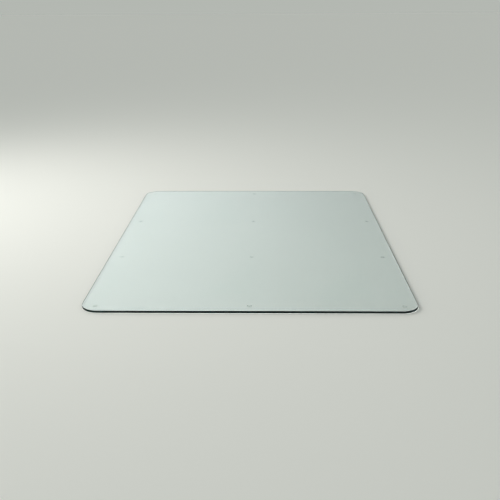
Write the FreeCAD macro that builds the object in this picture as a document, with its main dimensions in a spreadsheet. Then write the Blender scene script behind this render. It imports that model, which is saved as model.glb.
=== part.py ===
"""Chair mat: a rounded sheet of tempered glass on a grid of clear stick-on bumpers.

Frame: millimetres, +Z up. The origin is on the floor, under the middle of the sheet.
X runs across the mat and Y runs along its length, with the front edge at -Y.
The sheet is one solid, and every bumper and every adhesive disc is a solid of its own.
"""
import FreeCAD, Part
import os

from FreeCAD import Vector
from Sketcher import Constraint

# Driving dimensions: alias, value in millimetres, what it measures.
SIZES = [
    ("mat_width", 914.4, "glass sheet, across"),
    ("mat_length", 1219.2, "glass sheet, along"),
    ("glass_thickness", 6.35, "glass sheet, top to bottom"),
    ("corner_radius", 50.8, "outline corner of the sheet"),
    ("arris_width", 0.8, "ground arris along both rims of the sheet"),
    ("bumper_inset", 38.1, "edge of the sheet to the centre of an outer bumper"),
    ("bumper_diameter", 12.7, "bumper at its top, where it is widest"),
    ("bumper_height", 1.6, "bumper, floor to adhesive"),
    ("bumper_draft", 0.5, "how far the bumper's wall leans in on its way down"),
    ("bumper_rim_radius", 0.4, "rounding round the bumper's foot"),
    ("adhesive_margin", 0.5, "bare ring of bumper round its adhesive disc"),
    ("adhesive_thickness", 0.2, "adhesive disc, bumper to glass"),
]

# The grid of bumpers: columns across the mat, rows from its front edge to its back edge.
COLUMNS = ("left", "middle", "right")
ROW_COUNT = 4

doc = FreeCAD.newDocument("chair_mat")


def make_sheet():
    """Write the driving dimensions to a spreadsheet, one named cell each."""
    sheet = doc.addObject("Spreadsheet::Sheet", "sizes")
    for row, (alias, value, meaning) in enumerate(SIZES, start=1):
        sheet.set(f"A{row}", alias)
        sheet.set(f"B{row}", str(value))
        sheet.set(f"C{row}", meaning)
        sheet.setAlias(f"B{row}", alias)
    doc.recompute()
    return sheet


def new_body(name):
    """Add an empty body, whose label is also the name of its file."""
    body = doc.addObject("PartDesign::Body", name)
    body.Label = name
    return body


def origin_item(body, role):
    """Return the plane or axis of the body's own origin that has this role."""
    return next(item for item in body.Origin.OriginFeatures if item.Role == role)


def new_sketch(body, name, role):
    """Add a sketch that lies on one of the body's origin planes."""
    sketch = body.newObject("Sketcher::SketchObject", name)
    sketch.AttachmentSupport = [(origin_item(body, role), "")]
    sketch.MapMode = "FlatFace"
    return sketch


def add_polygon(sketch, points):
    """Draw a closed polygon whose corners are joined, and return its line numbers."""
    count = len(points)
    lines = [
        sketch.addGeometry(Part.LineSegment(Vector(*points[i], 0), Vector(*points[(i + 1) % count], 0)))
        for i in range(count)
    ]
    for i in range(count):
        following = lines[(i + 1) % count]
        sketch.addConstraint(Constraint("Coincident", lines[i], 2, following, 1))
    return lines


def drive(sketch, name, expression, *terms):
    """Add a named size to the sketch and bind it to the spreadsheet."""
    index = sketch.addConstraint(Constraint(*terms))
    sketch.renameConstraint(index, name)
    sketch.setExpression(f"Constraints.{name}", expression)


def flat_faces(shape):
    """Return the names of the faces that look straight up or straight down."""
    names = []
    for number, face in enumerate(shape.Faces, start=1):
        if isinstance(face.Surface, Part.Plane) and abs(face.normalAt(0, 0).z) > 0.999:
            names.append(f"Face{number}")
    return names


def upright_edges(shape):
    """Return the names of the straight edges that run up through the thickness."""
    names = []
    for number, edge in enumerate(shape.Edges, start=1):
        if isinstance(edge.Curve, Part.Line) and abs(edge.tangentAt(edge.FirstParameter).z) > 0.999:
            names.append(f"Edge{number}")
    return names


def lowest_circle(shape):
    """Return the name of the full round edge that lies lowest."""
    rounds = [
        (edge.Curve.Center.z, f"Edge{number}")
        for number, edge in enumerate(shape.Edges, start=1)
        if isinstance(edge.Curve, Part.Circle)
    ]
    return min(rounds)[1]


def make_glass_pane():
    """Make the sheet: a rectangle padded up, its corners rounded, its two rims ground off."""
    body = new_body("glass_pane")
    sketch = new_sketch(body, "pane_outline", "XY_Plane")
    corners = [(-400, -600), (400, -600), (400, 600), (-400, 600)]
    front, right, back, left = add_polygon(sketch, corners)
    for line in (front, back):
        sketch.addConstraint(Constraint("Horizontal", line))
    for line in (right, left):
        sketch.addConstraint(Constraint("Vertical", line))
    sketch.addConstraint(Constraint("Symmetric", front, 1, right, 2, -1, 1))
    drive(sketch, "across", "sizes.mat_width", "Distance", front, 800)
    drive(sketch, "along", "sizes.mat_length", "Distance", right, 1200)

    pad = body.newObject("PartDesign::Pad", "pane_pad")
    pad.Profile = sketch
    pad.setExpression("Length", "sizes.glass_thickness")
    doc.recompute()

    rounding = body.newObject("PartDesign::Fillet", "pane_corners")
    rounding.Base = (pad, upright_edges(pad.Shape))
    rounding.setExpression("Radius", "sizes.corner_radius")
    doc.recompute()

    arris = body.newObject("PartDesign::Chamfer", "pane_arris")
    arris.Base = (rounding, flat_faces(rounding.Shape))
    arris.setExpression("Size", "sizes.arris_width")
    body.setExpression("Placement.Base.z", "sizes.bumper_height + sizes.adhesive_thickness")
    return body


def place_on_grid(body, column, row, height):
    """Bind the body's place to the grid of bumpers, at a height given as an expression."""
    columns_from_middle = column - (len(COLUMNS) - 1) / 2
    rows_from_middle = row - (ROW_COUNT - 1) / 2
    column_pitch = f"(sizes.mat_width - 2 * sizes.bumper_inset) / {len(COLUMNS) - 1}"
    row_pitch = f"(sizes.mat_length - 2 * sizes.bumper_inset) / {ROW_COUNT - 1}"
    body.setExpression("Placement.Base.x", f"{columns_from_middle} * {column_pitch}")
    body.setExpression("Placement.Base.y", f"{rows_from_middle} * {row_pitch}")
    body.setExpression("Placement.Base.z", height)


def make_bumper(name, column, row):
    """Make a bumper: a half section turned about its upright axis, with a rounded foot."""
    body = new_body(name)
    sketch = new_sketch(body, f"{name}_section", "XZ_Plane")
    section = [(0, 0), (5, 0), (6, 1), (0, 1)]
    foot, wall, crown, axis = add_polygon(sketch, section)
    for line in (foot, crown):
        sketch.addConstraint(Constraint("Horizontal", line))
    sketch.addConstraint(Constraint("Coincident", foot, 1, -1, 1))
    sketch.addConstraint(Constraint("PointOnObject", crown, 2, -2))
    drive(sketch, "crown_radius", "sizes.bumper_diameter / 2", "Distance", crown, 6)
    drive(sketch, "foot_radius", "sizes.bumper_diameter / 2 - sizes.bumper_draft", "Distance", foot, 5)
    drive(sketch, "height", "sizes.bumper_height", "Distance", axis, 1)

    turned = body.newObject("PartDesign::Revolution", f"{name}_turned")
    turned.Profile = sketch
    turned.ReferenceAxis = (sketch, ["V_Axis"])
    turned.Angle = 360
    doc.recompute()

    rim = body.newObject("PartDesign::Fillet", f"{name}_rim")
    rim.Base = (turned, [lowest_circle(turned.Shape)])
    rim.setExpression("Radius", "sizes.bumper_rim_radius")
    place_on_grid(body, column, row, "0")
    return body


def make_adhesive(name, column, row):
    """Make the disc of adhesive that holds a bumper to the underside of the glass."""
    body = new_body(name)
    sketch = new_sketch(body, f"{name}_outline", "XY_Plane")
    circle = sketch.addGeometry(Part.Circle(Vector(0, 0, 0), Vector(0, 0, 1), 5))
    sketch.addConstraint(Constraint("Coincident", circle, 3, -1, 1))
    across = "sizes.bumper_diameter - 2 * sizes.adhesive_margin"
    drive(sketch, "across", across, "Diameter", circle, 10)

    pad = body.newObject("PartDesign::Pad", f"{name}_pad")
    pad.Profile = sketch
    pad.setExpression("Length", "sizes.adhesive_thickness")
    place_on_grid(body, column, row, "sizes.bumper_height")
    return body


def make_support_grid():
    """Make a bumper and its adhesive disc at every place of the grid."""
    bodies = []
    for row in range(ROW_COUNT):
        for column, side in enumerate(COLUMNS):
            bodies.append(make_bumper(f"bumper_row{row + 1}_{side}", column, row))
            bodies.append(make_adhesive(f"adhesive_row{row + 1}_{side}", column, row))
    return bodies


def check_document(bodies):
    """Stop if any object has failed, or if a body isn't one valid solid."""
    failed = [item.Name for item in doc.Objects if {"Invalid", "Error"} & set(item.State)]
    if failed:
        raise RuntimeError(f"failed objects: {failed}")
    for body in bodies:
        shape = body.Shape
        if shape.isNull() or not shape.isValid() or len(shape.Solids) != 1:
            raise RuntimeError(f"{body.Label} is not one valid solid")


def export(bodies):
    """Write each body to a file of its own."""
    os.makedirs("parts", exist_ok=True)
    for body in bodies:
        body.Shape.exportStep(f"parts/{body.Label}.step")
        print(f"{body.Label}: {body.Shape.Volume:.1f} mm3")


make_sheet()
all_bodies = [make_glass_pane()] + make_support_grid()
doc.recompute()
check_document(all_bodies)
export(all_bodies)
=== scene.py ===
"""Chair mat: the looks of a tempered glass sheet on clear stick-on bumpers, on a pale studio floor.

Frame: metres, +Z up, origin on the floor under the middle of the sheet, front edge at -Y.
Every piece is built where its CAD node says, so its size and place come from the frame.
"""
import logging
import math
from dataclasses import dataclass
from enum import Enum

import bpy
import numpy as np
from mathutils import Matrix, Vector


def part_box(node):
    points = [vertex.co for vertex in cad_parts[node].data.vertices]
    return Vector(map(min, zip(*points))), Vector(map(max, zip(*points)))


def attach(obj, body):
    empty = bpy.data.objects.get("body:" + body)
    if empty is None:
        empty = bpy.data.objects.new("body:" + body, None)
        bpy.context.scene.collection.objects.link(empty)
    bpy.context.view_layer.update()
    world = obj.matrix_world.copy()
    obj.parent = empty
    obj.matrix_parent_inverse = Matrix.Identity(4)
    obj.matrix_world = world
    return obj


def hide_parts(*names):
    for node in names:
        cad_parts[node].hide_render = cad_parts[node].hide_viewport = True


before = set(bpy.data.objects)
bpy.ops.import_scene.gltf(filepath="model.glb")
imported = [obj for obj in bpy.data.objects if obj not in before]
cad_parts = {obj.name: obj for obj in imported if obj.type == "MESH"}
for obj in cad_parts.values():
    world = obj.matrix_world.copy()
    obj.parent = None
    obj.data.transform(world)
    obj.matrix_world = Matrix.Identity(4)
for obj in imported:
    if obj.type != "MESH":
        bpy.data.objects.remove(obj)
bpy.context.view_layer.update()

MM = 0.001

log = logging.getLogger("chair_mat")


class Slot(Enum):
    """The record's material slots."""

    GLASS = "tempered_glass"
    SILICONE = "bumper_silicone"
    ADHESIVE = "adhesive_film"


class Layer(Enum):
    """Data that the sheet's mesh carries for its material."""

    EDGE = "edge_share"
    ARRIS = "arris_share"


class Mixed(Enum):
    """What a Mix node mixes: its data type, the number of its first input, and of its output."""

    VALUES = ("FLOAT", 2, 0)
    COLOURS = ("RGBA", 6, 2)


Socket = bpy.types.NodeSocket
Span = tuple[float, float]
Triple = tuple[float, float, float]
Colour = tuple[float, float, float, float]
Source = Socket | float | tuple[float, ...]
Pieces = dict[str, bpy.types.Object]


# ------------------------------------------------------------------ meshes


def grid_faces(rows: int, columns: int, wrap: bool) -> np.ndarray:
    """List the quads of a grid of points, row by row.

    Point (i, j) has the number i * columns + j. Quad (i, j) joins it to its three neighbours
    at i + 1 and j + 1, and the last column joins the first one where the grid wraps round.

    Args:
        rows: Number of rows of points.
        columns: Number of points in a row.
        wrap: True if each row is a closed loop.

    Returns:
        An array of four point numbers for each quad.
    """
    i, j = np.meshgrid(np.arange(rows - 1), np.arange(columns if wrap else columns - 1), indexing="ij")
    k = (j + 1) % columns
    corners = (i * columns + j, (i + 1) * columns + j, (i + 1) * columns + k, i * columns + k)
    return np.stack([c.ravel() for c in corners], axis=1)


def fan_faces(loop: np.ndarray, centre: int, flip: bool) -> np.ndarray:
    """List the triangles that close a loop of points round one middle point.

    Args:
        loop: Point numbers in order round the loop.
        centre: Number of the middle point.
        flip: True to turn the triangles over.

    Returns:
        An array of three point numbers for each triangle.
    """
    following = np.roll(loop, -1)
    middle = np.full_like(loop, centre)
    order = (following, loop, middle) if flip else (loop, following, middle)
    return np.stack(order, axis=1)


def mesh_object(name: str, points: np.ndarray, faces: list[np.ndarray]) -> bpy.types.Object:
    """Make a smooth-shaded mesh object at the origin.

    Args:
        name: Name of the piece.
        points: One row of x, y, z for each point.
        faces: Arrays of point numbers, one array for each size of face.

    Returns:
        The new object, linked to the scene.
    """
    mesh = bpy.data.meshes.new(name)
    mesh.from_pydata(points.tolist(), [], [face for block in faces for face in block.tolist()])
    mesh.polygons.foreach_set("use_smooth", np.ones(len(mesh.polygons), dtype=bool))
    mesh.update()
    piece = bpy.data.objects.new(name, mesh)
    bpy.context.scene.collection.objects.link(piece)
    return piece


def rounded_line(corners: np.ndarray, radii: np.ndarray, steps: int) -> np.ndarray:
    """Round the inner corners of an open line with tangent arcs.

    An arc of radius r leaves each leg at r * tan(turn / 2) from the corner, and its points lie
    on the circle round centre = corner + bisector * r / cos(turn / 2).

    Args:
        corners: Points of the line, in order.
        radii: Radius at each inner corner.
        steps: Number of segments in each arc.

    Returns:
        The points of the rounded line, its two ends included.
    """
    before, at, after = corners[:-2], corners[1:-1], corners[2:]
    arriving = (at - before) / np.linalg.norm(at - before, axis=1, keepdims=True)
    leaving = (after - at) / np.linalg.norm(after - at, axis=1, keepdims=True)
    turn = np.arccos(np.clip((arriving * leaving).sum(axis=1), -1.0, 1.0))
    inward = leaving - arriving
    inward /= np.linalg.norm(inward, axis=1, keepdims=True)
    centre = at + inward * (radii / np.cos(turn / 2))[:, None]
    sweep = (np.linspace(-0.5, 0.5, steps + 1)[None, :] * turn[:, None])[:, :, None]
    along = (arriving + leaving) / np.linalg.norm(arriving + leaving, axis=1, keepdims=True)
    spokes = -inward[:, None, :] * np.cos(sweep) + along[:, None, :] * np.sin(sweep)
    arcs = centre[:, None, :] + spokes * radii[:, None, None]
    return np.concatenate([corners[:1], arcs.reshape(-1, 2), corners[-1:]])


# ------------------------------------------------------------------ node helpers


class Nodes:
    """A short way to add and join shader nodes in one tree."""

    def __init__(self, tree: bpy.types.NodeTree) -> None:
        """Keep the tree that the nodes go into."""
        self.tree = tree

    def add(self, kind: str, **settings: object) -> bpy.types.Node:
        """Add a node.

        Args:
            kind: Blender's name for the node type, without its ShaderNode prefix.
            settings: Attributes to set on the node.

        Returns:
            The new node.
        """
        node = self.tree.nodes.new(f"ShaderNode{kind}")
        for key, value in settings.items():
            setattr(node, key, value)
        return node

    def feed(self, socket: Socket, source: Source) -> None:
        """Link an output to an input, or set the input to a plain value.

        Args:
            socket: Input to feed.
            source: Output to link to it, or its value.
        """
        if isinstance(source, Socket):
            self.tree.links.new(source, socket)
        else:
            socket.default_value = source

    def feed_in_order(self, sockets: list[Socket], sources: tuple[Source, ...]) -> None:
        """Feed several inputs in order."""
        for socket, source in zip(sockets, sources):
            self.feed(socket, source)

    def feed_by_name(self, node: bpy.types.Node, sources: dict[str, Source]) -> None:
        """Feed several inputs of a node by their names."""
        for name, source in sources.items():
            self.feed(node.inputs[name], source)

    def math(self, operation: str, *terms: Source) -> Socket:
        """Work out one operation on values.

        Args:
            operation: Name of the Math node's operation.
            terms: Its values, in order.

        Returns:
            The result.
        """
        node = self.add("Math", operation=operation)
        self.feed_in_order(node.inputs, terms)
        return node.outputs[0]

    def remap(self, value: Source, low: float, high: float, to_low: float, to_high: float) -> Socket:
        """Map a value smoothly from one range onto another.

        Args:
            value: Output or number to map.
            low: Value that gives to_low.
            high: Value that gives to_high.
            to_low: Result at and below low.
            to_high: Result at and above high.

        Returns:
            The mapped value.
        """
        node = self.add("MapRange", interpolation_type="SMOOTHSTEP")
        self.feed_in_order(node.inputs, (value, low, high, to_low, to_high))
        return node.outputs["Result"]

    def mix(self, kind: Mixed, share: Source, first: Source, second: Source) -> Socket:
        """Mix two values or colours.

        Args:
            kind: What is mixed.
            share: 0 for the first alone, 1 for the second alone.
            first: First value or colour.
            second: Second value or colour.

        Returns:
            The mixed value or colour.
        """
        data_type, first_input, output = kind.value
        node = self.add("Mix", data_type=data_type)
        inputs = [node.inputs[number] for number in (0, first_input, first_input + 1)]
        self.feed_in_order(inputs, (share, first, second))
        return node.outputs[output]

    def noise(self, vector: Socket, scale: Source, detail: float, distortion: float = 0.0) -> Socket:
        """Read a noise pattern at a place.

        Args:
            vector: Place to read.
            scale: Bumps of the pattern per metre.
            detail: Number of finer layers laid over it.
            distortion: How far the pattern is pulled about.

        Returns:
            The pattern's value, about 0.5 on average.
        """
        node = self.add("TexNoise")
        sources = {"Vector": vector, "Scale": scale, "Detail": detail, "Distortion": distortion}
        self.feed_by_name(node, sources)
        return node.outputs["Fac"]

    def stretched(self, vector: Socket, scale: Triple, turn: float = 0.0) -> Socket:
        """Turn a place about Z and scale it, to stretch the pattern that is read there.

        Args:
            vector: Place to turn and scale.
            scale: Factor along each axis. A small one makes the pattern long.
            turn: Angle in radians.

        Returns:
            The changed place.
        """
        node = self.add("Mapping")
        self.feed_by_name(node, {"Vector": vector, "Rotation": (0.0, 0.0, turn), "Scale": scale})
        return node.outputs["Vector"]

    def bumped(self, height: Socket, distance: float, strength: float = 1.0) -> Socket:
        """Turn a height pattern into relief.

        Args:
            height: Pattern, 1 at full height.
            distance: Full height in metres.
            strength: Share of the relief that shows.

        Returns:
            The surface's changed normal.
        """
        node = self.add("Bump")
        self.feed_by_name(node, {"Height": height, "Distance": distance, "Strength": strength})
        return node.outputs["Normal"]

    def surface(self, sources: dict[str, Source]) -> bpy.types.Node:
        """Add a Principled shader as the material's surface.

        Args:
            sources: What each of the shader's inputs is set to or fed by, by its name.

        Returns:
            The material's output node.
        """
        shader = self.add("BsdfPrincipled")
        self.feed_by_name(shader, sources)
        output = self.add("OutputMaterial")
        self.feed(output.inputs["Surface"], shader.outputs["BSDF"])
        return output


def new_material(name: str) -> tuple[bpy.types.Material, Nodes]:
    """Make an empty node material.

    Args:
        name: Name of the material.

    Returns:
        The material and its nodes.
    """
    material = bpy.data.materials.new(name)
    material.use_nodes = True
    material.node_tree.nodes.clear()
    return material, Nodes(material.node_tree)


@dataclass(frozen=True)
class HandlingMarks:
    """Traces of handling on a shiny surface, in one node group that several finishes use.

    A wiped smear is a broad stretched noise over a threshold. A hairline is where a finer
    noise, stretched more and turned the other way, crosses its middle value. Both are shares
    from 0 to 1.
    """

    name: str = "handling_marks"
    smear_stretch: Triple = (1.0, 0.35, 1.0)
    smear_turn: float = 0.5  # radians
    smear_detail: float = 4.0
    smear_pull: float = 0.6
    smear_values: Span = (0.5, 0.72)  # values of the noise where a smear starts and is full
    hairline_stretch: Triple = (14.0, 0.7, 1.0)
    hairline_turn: float = -0.35  # radians
    hairline_detail: float = 2.0
    hairline_reach: float = 0.006  # how far from its middle value the noise still draws it

    def group(self) -> bpy.types.NodeTree:
        """Make the group, or find it where it is already made.

        Returns:
            The node group, with Vector and Density in, and Smear and Hairline out.
        """
        if self.name in bpy.data.node_groups:
            return bpy.data.node_groups[self.name]
        tree = bpy.data.node_groups.new(self.name, "ShaderNodeTree")
        tree.interface.new_socket("Vector", in_out="INPUT", socket_type="NodeSocketVector")
        tree.interface.new_socket("Density", in_out="INPUT", socket_type="NodeSocketFloat")
        tree.interface.new_socket("Smear", in_out="OUTPUT", socket_type="NodeSocketFloat")
        tree.interface.new_socket("Hairline", in_out="OUTPUT", socket_type="NodeSocketFloat")
        nodes = Nodes(tree)
        inside = tree.nodes.new("NodeGroupInput")
        outside = tree.nodes.new("NodeGroupOutput")
        place, density = inside.outputs["Vector"], inside.outputs["Density"]

        wiped = nodes.stretched(place, self.smear_stretch, self.smear_turn)
        smear = nodes.noise(wiped, density, self.smear_detail, self.smear_pull)
        drawn = nodes.stretched(place, self.hairline_stretch, self.hairline_turn)
        line = nodes.noise(drawn, density, self.hairline_detail)
        off_middle = nodes.math("ABSOLUTE", nodes.math("SUBTRACT", line, 0.5))
        marks = {
            "Smear": nodes.remap(smear, *self.smear_values, 0.0, 1.0),
            "Hairline": nodes.remap(off_middle, 0.0, self.hairline_reach, 1.0, 0.0),
        }
        nodes.feed_by_name(outside, marks)
        return tree

    def lay(self, nodes: Nodes, place: Socket, density: float) -> tuple[Socket, Socket]:
        """Lay the marks over a finish.

        Args:
            nodes: The finish's nodes.
            place: Object coordinates.
            density: Smears per metre.

        Returns:
            The shares of smear and of hairline.
        """
        marks = nodes.add("Group", node_tree=self.group())
        nodes.feed_by_name(marks, {"Vector": place, "Density": density})
        return marks.outputs["Smear"], marks.outputs["Hairline"]


# ------------------------------------------------------------------ finishes


@dataclass(frozen=True)
class TemperedGlass:
    """Clear float glass: colourless faces, a green polished edge and satin ground arrises."""

    ior: float = 1.52
    absorbs: Triple = (9.5, 3.5, 3.4)  # absorption per metre of red, green and blue
    clean: Colour = (1.0, 1.0, 1.0, 1.0)
    wiped: Colour = (0.985, 0.992, 0.99, 1.0)
    face_roughness: float = 0.0
    smear_roughness: float = 0.03
    hairline_roughness: float = 0.08
    edge_roughness: Span = (0.04, 0.1)  # between the grinder's streaks, and on them
    arris_roughness: float = 0.28
    smears_per_metre: float = 5.0
    streaks_per_metre: float = 10.0  # along the edge, before the stretch
    streak_stretch: Triple = (3.0, 3.0, 500.0)  # long level lines round the edge
    streak_detail: float = 3.0
    streak_values: Span = (0.45, 0.75)  # values of the noise where a streak starts and is full
    streak_height: float = 0.0015 * MM
    wave_length: float = 0.26  # distance between roller waves
    wave_wander: float = 0.5
    wave_height: float = 0.04 * MM

    def material(self) -> bpy.types.Material:
        """Build the glass.

        Returns:
            A material with a plain transmission weight and a plain absorption.
        """
        material, nodes = new_material("clear_tempered_glass")
        place = nodes.add("TexCoord").outputs["Object"]
        edge = nodes.add("Attribute", attribute_name=Layer.EDGE.value).outputs["Fac"]
        arris = nodes.add("Attribute", attribute_name=Layer.ARRIS.value).outputs["Fac"]
        smear, hairline = HandlingMarks().lay(nodes, place, self.smears_per_metre)
        level = nodes.stretched(place, self.streak_stretch)
        streaks = nodes.noise(level, self.streaks_per_metre, self.streak_detail)

        face = nodes.mix(Mixed.VALUES, smear, self.face_roughness, self.smear_roughness)
        marked = nodes.mix(Mixed.VALUES, hairline, face, self.hairline_roughness)
        polish = nodes.remap(streaks, *self.streak_values, *self.edge_roughness)
        sides = nodes.mix(Mixed.VALUES, edge, marked, polish)
        output = nodes.surface(
            {
                "Base Color": nodes.mix(Mixed.COLOURS, smear, self.clean, self.wiped),
                "Transmission Weight": 1.0,
                "IOR": self.ior,
                "Roughness": nodes.mix(Mixed.VALUES, arris, sides, self.arris_roughness),
                "Normal": self.relief(nodes, place, nodes.math("MULTIPLY", streaks, edge)),
            }
        )
        nodes.feed(output.inputs["Volume"], self.depth(nodes))
        return material

    def relief(self, nodes: Nodes, place: Socket, streaks: Socket) -> Socket:
        """Add the shallow waves of the tempering rollers and the fine lines of the edge grinder.

        The height in metres is wave * wave_height + streaks * streak_height. At scale 1 the
        wave pattern has 20 / (2 * pi) waves per metre.

        Args:
            nodes: The material's nodes.
            place: Object coordinates.
            streaks: Share of streak height, 0 on the faces.

        Returns:
            The surface's changed normal.
        """
        wave = nodes.add("TexWave", wave_type="BANDS", bands_direction="Y", wave_profile="SIN")
        sources = {
            "Vector": place,
            "Scale": 2.0 * math.pi / (20.0 * self.wave_length),
            "Distortion": self.wave_wander,
            "Detail": 1.0,
            "Detail Scale": 1.0,
        }
        nodes.feed_by_name(wave, sources)
        rolled = nodes.math("MULTIPLY", wave.outputs["Fac"], self.wave_height)
        ground = nodes.math("MULTIPLY", streaks, self.streak_height)
        return nodes.bumped(nodes.math("ADD", rolled, ground), distance=1.0)

    def depth(self, nodes: Nodes) -> Socket:
        """Tint light by the length of its way through the glass.

        A colour's absorption per metre is density * (1 - colour), so the density is the
        strongest absorption, and the colour is what each one leaves of it.

        Args:
            nodes: The material's nodes.

        Returns:
            The volume shader's output.
        """
        volume = nodes.add("VolumeAbsorption")
        strongest = max(self.absorbs)
        left = (*(1.0 - absorbed / strongest for absorbed in self.absorbs), 1.0)
        nodes.feed_by_name(volume, {"Color": left, "Density": strongest})
        return volume.outputs["Volume"]


@dataclass(frozen=True)
class ClearSilicone:
    """Moulded clear silicone, satin outside, with the fine orange peel of its mould."""

    tint: Colour = (0.98, 0.99, 0.985, 1.0)
    ior: float = 1.41
    roughness: float = 0.12
    dusty_roughness: float = 0.24
    smears_per_metre: float = 300.0
    peel_per_metre: float = 1800.0
    peel_detail: float = 2.0
    peel_height: float = 0.05 * MM
    peel_strength: float = 0.4

    def material(self) -> bpy.types.Material:
        """Build the silicone.

        Returns:
            A material with a plain transmission weight.
        """
        material, nodes = new_material("clear_satin_silicone")
        place = nodes.add("TexCoord").outputs["Object"]
        smear, _ = HandlingMarks().lay(nodes, place, self.smears_per_metre)
        peel = nodes.noise(place, self.peel_per_metre, self.peel_detail)
        nodes.surface(
            {
                "Base Color": self.tint,
                "Transmission Weight": 1.0,
                "IOR": self.ior,
                "Roughness": nodes.mix(Mixed.VALUES, smear, self.roughness, self.dusty_roughness),
                "Normal": nodes.bumped(peel, self.peel_height, self.peel_strength),
            }
        )
        return material


@dataclass(frozen=True)
class AdhesiveFilm:
    """Clear acrylic adhesive with a few trapped air bubbles."""

    tint: Colour = (0.99, 0.99, 0.98, 1.0)
    ior: float = 1.05  # nearly lost between glass and silicone
    roughness: Span = (0.38, 0.08)  # in a bubble, and round it
    bubbles_per_metre: float = 900.0
    bubble_radii: Span = (0.12, 0.2)  # core and rim, as shares of the spacing

    def material(self) -> bpy.types.Material:
        """Build the film.

        Returns:
            A material with a plain transmission weight.
        """
        material, nodes = new_material("clear_adhesive_film")
        place = nodes.add("TexCoord").outputs["Object"]
        bubbles = nodes.add("TexVoronoi")
        nodes.feed_by_name(bubbles, {"Vector": place, "Scale": self.bubbles_per_metre})
        nodes.surface(
            {
                "Base Color": self.tint,
                "Transmission Weight": 1.0,
                "IOR": self.ior,
                "Roughness": nodes.remap(bubbles.outputs["Distance"], *self.bubble_radii, *self.roughness),
            }
        )
        return material


@dataclass(frozen=True)
class StudioFloor:
    """Plain matt off-white floor."""

    colour: Colour = (0.89, 0.872, 0.807, 1.0)
    roughness: float = 0.9

    def material(self) -> bpy.types.Material:
        """Build the floor.

        Returns:
            A plain material without gloss.
        """
        material, nodes = new_material("pale_matt_floor")
        nodes.surface(
            {"Base Color": self.colour, "Roughness": self.roughness, "Specular IOR Level": 0.0}
        )
        return material


# ------------------------------------------------------------------ the object's pieces


def stand_in(piece: bpy.types.Object, node: str, material: bpy.types.Material) -> None:
    """Give a piece its finish and let it stand in for its CAD node.

    Args:
        piece: Finished piece.
        node: CAD node that it replaces.
        material: Its finish.
    """
    piece.data.materials.append(material)
    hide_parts(node)
    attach(piece, "root")


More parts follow.
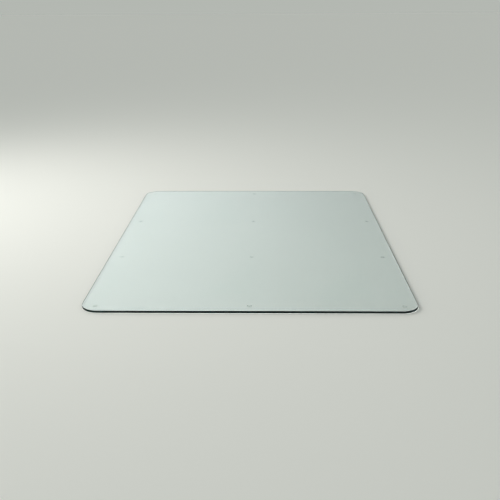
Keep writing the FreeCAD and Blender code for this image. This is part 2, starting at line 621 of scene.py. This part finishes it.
@dataclass
class GlassSheet:
    """The tempered sheet: two flat faces, a polished edge and a ground arris along each rim."""

    node: str = "glass_pane"
    corner_radius: float = 50.8 * MM
    arris: float = 0.8 * MM
    arris_softness: float = 0.2 * MM
    face_margin: float = 0.5 * MM  # flat rim of a face that keeps its shading level
    arc_steps: int = 4
    corner_steps: int = 40
    run_step: float = 24 * MM  # between points along a straight side
    rings: int = 18  # of each face, from its middle to its rim

    def __post_init__(self) -> None:
        """Read the sheet's size from its CAD node."""
        low, high = (np.array(corner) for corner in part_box(self.node))
        self.base = np.array([*(low + high)[:2] / 2, low[2]])
        self.half = (high - low)[:2] / 2
        self.thickness = float(high[2] - low[2])

    def outline(self) -> tuple[np.ndarray, np.ndarray]:
        """Walk round the sheet once, anticlockwise seen from above.

        The walk follows the rectangle of the four corner centres. A point of the outline is
        its point of the walk plus the corner radius times the outward direction there, which
        turns through a quarter at each corner and stays the same along each side.

        Returns:
            The points of the walk and the outward directions, one row each.
        """
        inner = self.half - self.corner_radius
        signs = np.array([(1, -1), (1, 1), (-1, 1), (-1, -1)])
        walk, outward = [], []
        for i, sign in enumerate(signs):
            turn = np.linspace(i * math.pi / 2 - math.pi / 2, i * math.pi / 2, self.corner_steps + 1)
            walk.append(np.repeat((sign * inner)[None, :], len(turn), axis=0))
            outward.append(np.stack([np.cos(turn), np.sin(turn)], axis=1))
            leap = (signs[(i + 1) % 4] - sign) * inner
            count = int(np.linalg.norm(leap) / self.run_step)
            share = np.linspace(0.0, 1.0, count + 2)[1:-1]
            walk.append(sign * inner + share[:, None] * leap)
            outward.append(np.repeat(outward[-1][-1:], count, axis=0))
        return np.concatenate(walk), np.concatenate(outward)

    def section(self) -> np.ndarray:
        """Draw the edge's section from the top face to the bottom face.

        The line runs out over the top face's rim, down the upper arris, the edge and the
        lower arris, and back under the bottom face's rim. Its four corners are rounded.

        Returns:
            Rows of the inset from the outermost line and the height over the bottom face.
        """
        margin = self.arris + self.face_margin
        top = self.thickness
        corners = np.array(
            [
                (margin, top),
                (self.arris, top),
                (0.0, top - self.arris),
                (0.0, self.arris),
                (self.arris, 0.0),
                (margin, 0.0),
            ]
        )
        return rounded_line(corners, np.full(4, self.arris_softness), self.arc_steps)

    def build(self) -> Pieces:
        """Carry the edge's section round the outline and close both faces.

        A point is walk + (radius - inset) * outward, at its height. Each face is a set of
        copies of the section's end ring, shrunk towards the middle, and a fan round the middle.

        Returns:
            The sheet as one closed mesh, by its node.
        """
        walk, outward = self.outline()
        section = self.section()
        edge = walk[None] + (self.corner_radius - section[:, 0])[:, None, None] * outward[None]
        shrink = np.arange(1, self.rings) / self.rings
        top_face = edge[:1] * shrink[:, None, None]
        bottom_face = edge[-1:] * shrink[::-1, None, None]
        plan = np.concatenate([top_face, edge, bottom_face])
        flat = np.zeros(len(shrink))
        heights = np.concatenate([flat + self.thickness, section[:, 1], flat])
        rows, columns = plan.shape[:2]
        points = np.concatenate([plan, np.broadcast_to(heights[:, None, None], (rows, columns, 1))], axis=2)
        middles = [(0.0, 0.0, self.thickness), (0.0, 0.0, 0.0)]
        points = np.concatenate([points.reshape(-1, 3), middles]) + self.base
        first_ring = np.arange(columns)
        last_ring = (rows - 1) * columns + first_ring
        faces = [
            grid_faces(rows, columns, wrap=True),
            fan_faces(first_ring, rows * columns, flip=False),
            fan_faces(last_ring, rows * columns + 1, flip=True),
        ]
        piece = mesh_object("tempered_sheet", points, faces)
        for layer, share in self.lean(section).items():
            shares = np.repeat(np.concatenate([flat, share, flat]), columns)
            attribute = piece.data.attributes.new(layer.value, "FLOAT", "POINT")
            attribute.data.foreach_set("value", np.append(shares, np.zeros(len(middles))))
        return {self.node: piece}

    def lean(self, section: np.ndarray) -> dict[Layer, np.ndarray]:
        """Work out how much of each point of the section is edge and how much is arris.

        With t the section's direction at a point, the edge share is tz * tz, which is 0 on
        the faces and 1 on the edge, and the arris share is 2 * |tx * tz|, which is 1 at 45
        degrees and 0 on both.

        Args:
            section: Rows of inset and height.

        Returns:
            The shares for each layer.
        """
        run = np.diff(section, axis=0)
        run /= np.linalg.norm(run, axis=1, keepdims=True)
        along = np.concatenate([run[:1], run[:-1] + run[1:], run[-1:]])
        along /= np.linalg.norm(along, axis=1, keepdims=True)
        return {
            Layer.EDGE: along[:, 1] ** 2,
            Layer.ARRIS: 2.0 * np.abs(along[:, 0] * along[:, 1]),
        }

    def dress(self, pieces: Pieces) -> None:
        """Give the sheet its glass."""
        stand_in(pieces[self.node], self.node, TemperedGlass().material())


@dataclass
class TurnedDisc:
    """A round piece under the sheet, turned from a half section."""

    steps: int = 72
    middle_share: float = 0.1  # innermost ring of a flat face, as a share of the radius
    arc_steps: int = 5

    def turned(self, name: str, node: str, section: np.ndarray) -> bpy.types.Object:
        """Turn a half section about the upright axis through a CAD node.

        A point is (radius * cos(angle), radius * sin(angle), height), and one middle point
        closes each flat face.

        Args:
            name: Name of the piece.
            node: CAD node that the piece stands in.
            section: Rows of radius and height over the node's lowest point, from the middle
                of the top face to the middle of the bottom face, without the middles.

        Returns:
            The closed piece.
        """
        low, high = (np.array(corner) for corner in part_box(node))
        centre = (low + high) / 2
        angle = np.arange(self.steps) * 2 * math.pi / self.steps
        circle = np.stack([np.cos(angle), np.sin(angle)], axis=1)
        plan = section[:, 0][:, None, None] * circle[None]
        heights = np.broadcast_to(section[:, 1][:, None, None], (len(section), self.steps, 1))
        points = np.concatenate([plan, heights], axis=2).reshape(-1, 3)
        ends = [(0.0, 0.0, section[0, 1]), (0.0, 0.0, section[-1, 1])]
        points = np.concatenate([points, ends]) + (centre[0], centre[1], low[2])
        first_ring = np.arange(self.steps)
        last_ring = (len(section) - 1) * self.steps + first_ring
        faces = [
            grid_faces(len(section), self.steps, wrap=True),
            fan_faces(first_ring, len(points) - 2, flip=False),
            fan_faces(last_ring, len(points) - 1, flip=True),
        ]
        return mesh_object(name, points, faces)


@dataclass
class Bumper(TurnedDisc):
    """A moulded bumper: flat crown, wall that leans in on its way down, rounded foot."""

    crown_softness: float = 0.08 * MM
    foot_softness: float = 0.4 * MM
    draft: float = 0.5 * MM

    def build(self, node: str) -> bpy.types.Object:
        """Build the bumper that stands in a CAD node.

        Its half section runs from the crown down the wall to a foot that is smaller by the
        draft, with a rounded rim at both.

        Args:
            node: CAD node.

        Returns:
            The bumper.
        """
        low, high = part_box(node)
        radius = (high.x - low.x) / 2
        height = high.z - low.z
        middle = radius * self.middle_share
        corners = np.array([(middle, height), (radius, height), (radius - self.draft, 0.0), (middle, 0.0)])
        radii = np.array([self.crown_softness, self.foot_softness])
        return self.turned(f"silicone_{node}", node, rounded_line(corners, radii, self.arc_steps))


@dataclass
class AdhesiveDisc(TurnedDisc):
    """A disc of adhesive, set back a hair from the pieces that it joins."""

    arc_steps: int = 3
    setback: float = 0.01 * MM
    rim_softness: float = 0.06 * MM

    def build(self, node: str) -> bpy.types.Object:
        """Build the disc that lies in a CAD node.

        Its half section is a flat rectangle with rounded outer corners.

        Args:
            node: CAD node.

        Returns:
            The disc.
        """
        low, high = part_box(node)
        radius = (high.x - low.x) / 2
        middle = radius * self.middle_share
        top, bottom = high.z - low.z - self.setback, self.setback
        corners = np.array([(middle, top), (radius, top), (radius, bottom), (middle, bottom)])
        radii = np.full(2, self.rim_softness)
        return self.turned(f"film_{node}", node, rounded_line(corners, radii, self.arc_steps))


@dataclass
class SupportGrid:
    """All pieces of one kind under the sheet, one in every place of the CAD grid."""

    prefix: str  # how the names of their CAD nodes start
    maker: Bumper | AdhesiveDisc
    finish: ClearSilicone | AdhesiveFilm
    slot: Slot

    def build(self) -> Pieces:
        """Build one piece in each CAD node of this kind.

        Returns:
            The pieces by their nodes.
        """
        nodes = sorted(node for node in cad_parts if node.startswith(self.prefix))
        return {node: self.maker.build(node) for node in nodes}

    def dress(self, pieces: Pieces) -> None:
        """Give every piece the same finish.

        Args:
            pieces: The pieces by their nodes.
        """
        material = self.finish.material()
        for node, piece in pieces.items():
            stand_in(piece, node, material)


# ------------------------------------------------------------------ studio


@dataclass
class Studio:
    """The floor, the soft light all round, the soft lamp on the left and the camera."""

    bounces: int = 80  # light runs on between the sheet's faces, from edge to edge
    floor_half: float = 30.0
    ambient: Colour = (0.512, 0.55, 0.551, 1.0)  # light on the floor far from the lamp
    wall_left: float = 1.06
    wall_right: float = 0.285
    wall_front: float = 0.66  # behind the camera
    ceiling: float = 0.45
    daylight: Triple = (0.945, 1.01, 1.01)  # cool tone of the walls and ceiling
    wall_turn: Span = (-0.35, 0.3)  # sideways directions from the left wall to the right wall
    front_turn: Span = (-0.5, 0.2)  # forward directions from the front wall to the others
    ceiling_turn: Span = (0.5, 0.85)  # upward directions from the walls to the ceiling
    horizon_turn: Span = (0.02, 0.16)  # upward directions from the floor's tone to the walls
    lamp_at: Triple = (-1.73, 0.27, 1.56)
    lamp_width: float = 2.4
    lamp_power: float = 21.4
    lamp_fade_mean: float = 0.3  # mean of the lamp's fade over its disc
    eye: Triple = (0.0397, -2.3272, 0.8005)
    heading: float = -1.206  # degrees to the right of +Y
    tilt: float = 19.839  # degrees below level
    roll: float = -0.348  # degrees
    lens: float = 51.11  # mm
    sensor: float = 36.0  # mm

    def build(self) -> None:
        """Build everything that isn't part of the object."""
        self.floor()
        self.world()
        self.lamp()
        self.camera()
        self.light_paths()

    def floor(self) -> None:
        """Lay a flat floor under the mat."""
        corners = np.array([(-1.0, -1.0, 0.0), (1.0, -1.0, 0.0), (1.0, 1.0, 0.0), (-1.0, 1.0, 0.0)])
        piece = mesh_object("studio_floor", self.floor_half * corners, [np.array([[0, 1, 2, 3]])])
        piece.data.materials.append(StudioFloor().material())

    def world(self) -> None:
        """Light the studio from all round.

        By direction, the light is the left, right or front wall's, then the ceiling's above
        them, and it takes the far floor's tone at the horizon. The camera itself sees that
        tone everywhere beyond the floor.
        """
        world = bpy.data.worlds.new("soft_studio_light")
        bpy.context.scene.world = world
        world.use_nodes = True
        world.node_tree.nodes.clear()
        nodes = Nodes(world.node_tree)
        split = nodes.add("SeparateXYZ")
        nodes.feed(split.inputs[0], nodes.add("TexCoord").outputs["Generated"])
        side = nodes.remap(split.outputs["X"], *self.wall_turn, self.wall_left, self.wall_right)
        beyond = nodes.remap(split.outputs["Y"], *self.front_turn, 0.0, 1.0)
        wall = nodes.mix(Mixed.VALUES, beyond, self.wall_front, side)
        over_wall = nodes.remap(split.outputs["Z"], *self.ceiling_turn, 0.0, 1.0)
        over_horizon = nodes.remap(split.outputs["Z"], *self.horizon_turn, 0.0, 1.0)
        far_floor = tuple(light * c for light, c in zip(self.ambient, StudioFloor().colour))
        lit = nodes.mix(Mixed.VALUES, over_wall, wall, self.ceiling)
        cool = nodes.add("VectorMath", operation="SCALE")
        nodes.feed_by_name(cool, {"Vector": self.daylight, "Scale": lit})
        room = nodes.mix(Mixed.COLOURS, over_horizon, far_floor, cool.outputs["Vector"])
        seen = nodes.add("LightPath").outputs["Is Camera Ray"]
        background = nodes.add("Background")
        nodes.feed(background.inputs["Color"], nodes.mix(Mixed.COLOURS, seen, room, far_floor))
        output = nodes.add("OutputWorld")
        nodes.feed(output.inputs["Surface"], background.outputs[0])

    def light_paths(self) -> None:
        """Let light run on through the glass unblurred, and show plain tones."""
        scene = bpy.context.scene
        scene.view_settings.view_transform = "Standard"
        scene.cycles.blur_glossy = 0.0
        scene.cycles.filter_width = 1.0
        scene.cycles.max_bounces = self.bounces
        scene.cycles.glossy_bounces = self.bounces
        scene.cycles.transmission_bounces = self.bounces

    def lamp(self) -> None:
        """Stand a large soft lamp to the left of the mat, turned to its middle.

        Its strength falls from the middle to nothing at the rim, on the smooth step curve
        1 - 3 * r * r + 2 * r * r * r, and is divided by that curve's mean over the disc.
        """
        data = bpy.data.lights.new("soft_lamp", "AREA")
        data.shape = "DISK"
        data.size = self.lamp_width
        data.energy = self.lamp_power
        data.use_nodes = True
        nodes = Nodes(data.node_tree)
        data.node_tree.nodes.clear()
        reach = nodes.add("VectorMath", operation="DISTANCE")
        spot = nodes.add("NewGeometry").outputs["Parametric"]
        nodes.feed_in_order(reach.inputs, (spot, (0.5, 0.5, 0.0)))
        fade = nodes.remap(reach.outputs["Value"], 0.0, 0.5, 1.0 / self.lamp_fade_mean, 0.0)
        glow = nodes.add("Emission")
        nodes.feed(glow.inputs["Strength"], fade)
        nodes.feed(nodes.add("OutputLight").inputs["Surface"], glow.outputs["Emission"])
        lamp = bpy.data.objects.new("soft_lamp", data)
        at = Vector(self.lamp_at)
        lamp.matrix_world = Matrix.Translation(at) @ at.to_track_quat("Z", "Y").to_matrix().to_4x4()
        lamp.visible_camera = False
        lamp.visible_glossy = False
        bpy.context.scene.collection.objects.link(lamp)

    def camera(self) -> None:
        """Stand the camera in front of the mat, looking down along it."""
        heading, tilt, roll = (math.radians(a) for a in (self.heading, self.tilt, self.roll))
        forward = Vector(
            (math.sin(heading) * math.cos(tilt), math.cos(heading) * math.cos(tilt), -math.sin(tilt))
        )
        level = Vector((math.cos(heading), -math.sin(heading), 0.0))
        upright = level.cross(forward)
        right = math.cos(roll) * level + math.sin(roll) * upright
        up = -math.sin(roll) * level + math.cos(roll) * upright
        turn = Matrix((right, up, -forward)).transposed().to_4x4()
        data = bpy.data.cameras.new("studio_camera")
        data.lens = self.lens
        data.sensor_width = self.sensor
        camera = bpy.data.objects.new("studio_camera", data)
        camera.matrix_world = Matrix.Translation(self.eye) @ turn
        bpy.context.scene.collection.objects.link(camera)
        bpy.context.scene.camera = camera


def report(piece: bpy.types.Object) -> None:
    """Log a finished piece and its number of faces."""
    log.info("%s: %d faces", piece.name, len(piece.data.polygons))


def main() -> None:
    """Build the object, then the studio round it."""
    logging.basicConfig(level=logging.INFO, format="%(name)s: %(message)s")
    parts = (
        GlassSheet(),
        SupportGrid("bumper_", Bumper(), ClearSilicone(), Slot.SILICONE),
        SupportGrid("adhesive_", AdhesiveDisc(), AdhesiveFilm(), Slot.ADHESIVE),
    )
    for part in parts:
        pieces = part.build()
        part.dress(pieces)
        for piece in pieces.values():
            report(piece)
    Studio().build()


if __name__ == "__main__":
    main()
